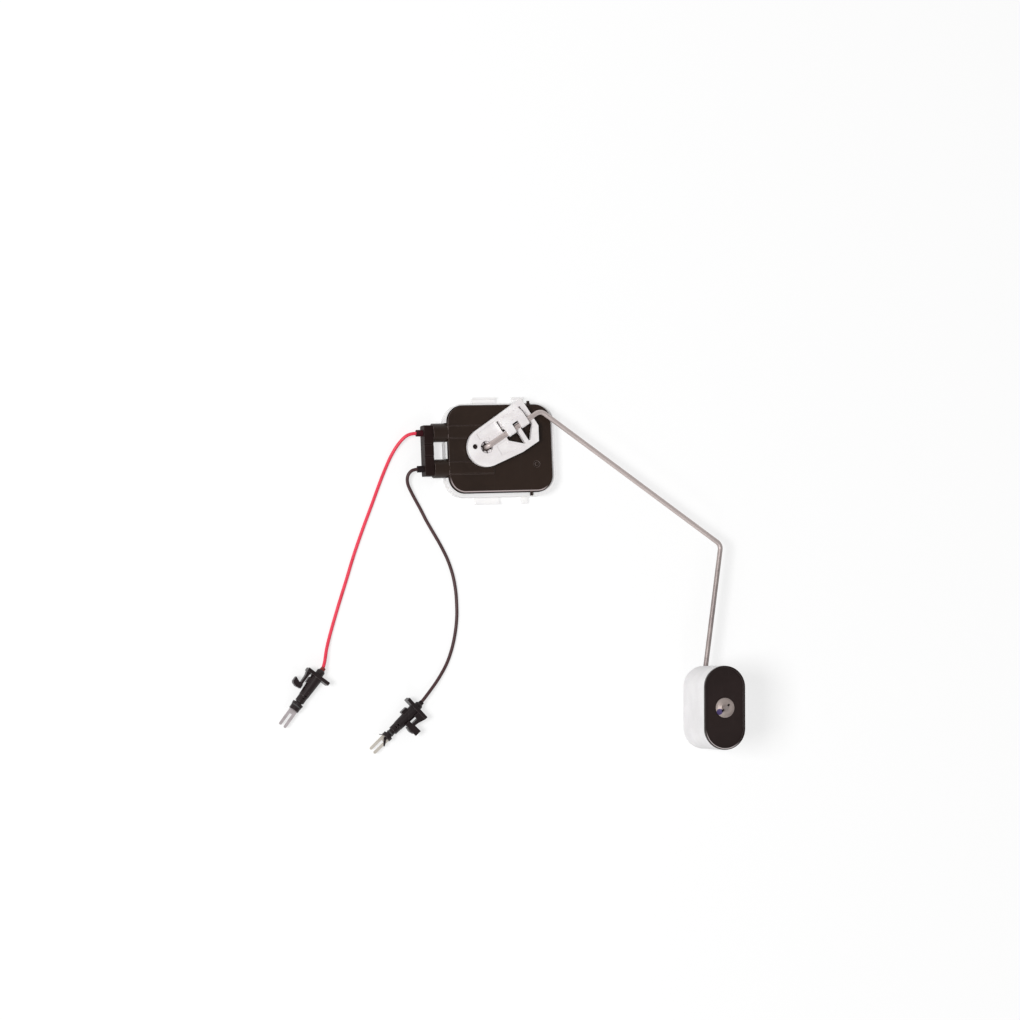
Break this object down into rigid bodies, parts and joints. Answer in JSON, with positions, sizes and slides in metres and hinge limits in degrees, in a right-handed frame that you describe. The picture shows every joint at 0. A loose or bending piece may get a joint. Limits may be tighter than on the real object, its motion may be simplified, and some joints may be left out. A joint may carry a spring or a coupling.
{
  "type": "fuel level sender",
  "caption": "Sealed fuel level sender: a flat housing with a lever on its face, a bent steel rod with an oval float, and a red and a black lead with fork plugs.",
  "frame": {"origin": "on the lever's pivot axis, at the plane of the housing's flat back face", "axes": "+Z out of the housing's face along the pivot axis, +X from the pivot towards the end of the housing that has no terminals, +Y across the housing to the side where the lever points at rest"},
  "size_m": [0.2316, 0.1811, 0.0501],
  "materials": {
    "natural_plastic": "satin moulded",
    "black_plastic": "satin moulded, warm black",
    "lever_plastic": "satin moulded",
    "float_plastic": "matt moulded",
    "lid_plastic": "satin moulded",
    "seal_rubber": "moulded rubber",
    "red_rubber": "moulded rubber",
    "black_rubber": "moulded rubber",
    "red_insulation": "smooth extruded",
    "black_insulation": "smooth extruded",
    "rod_steel": "drawn wire",
    "nut_steel": "pressed",
    "tinned_brass": "tinned sheet",
    "comb_steel": "etched foil",
    "magnet_alloy": "plated",
    "ceramic": "fired plate with printed track",
    "spacer_film": "film"
  },
  "bodies": {
    "housing": {"back_tray": "natural_plastic", "front_cover": "black_plastic", "cover_seal": "seal_rubber", "ceramic_substrate": "ceramic", "comb_spacer": "spacer_film", "contact_comb": "comb_steel", "terminal_retainer": "black_plastic", "red_terminal": "tinned_brass", "black_terminal": "tinned_brass", "red_wire_seal": "red_rubber", "black_wire_seal": "black_rubber", "red_lead": "red_insulation", "black_lead": "black_insulation", "red_plug_body": "black_plastic", "black_plug_body": "black_plastic", "red_plug_seal": "red_rubber", "black_plug_seal": "black_rubber", "red_plug_ring": "seal_rubber", "black_plug_ring": "seal_rubber", "red_fork": "tinned_brass", "black_fork": "tinned_brass"},
    "arm": {"lever": "lever_plastic", "magnet": "magnet_alloy", "float_rod": "rod_steel", "push_nut": "nut_steel"},
    "float": {"float_body": "float_plastic", "float_lid": "lid_plastic"}
  },
  "joints": [
    {"name": "arm_pivot", "type": "hinge", "parent": "housing", "child": "arm", "pos_m": [0, 0, 0.011], "axis": [0, 0, 1], "range_deg": [-80, 8]},
    {"name": "float_swivel", "type": "hinge", "parent": "arm", "child": "float", "pos_m": [0.1073, -0.1345, 0.03], "axis": [0, 0, 1], "continuous": true}
  ]
}
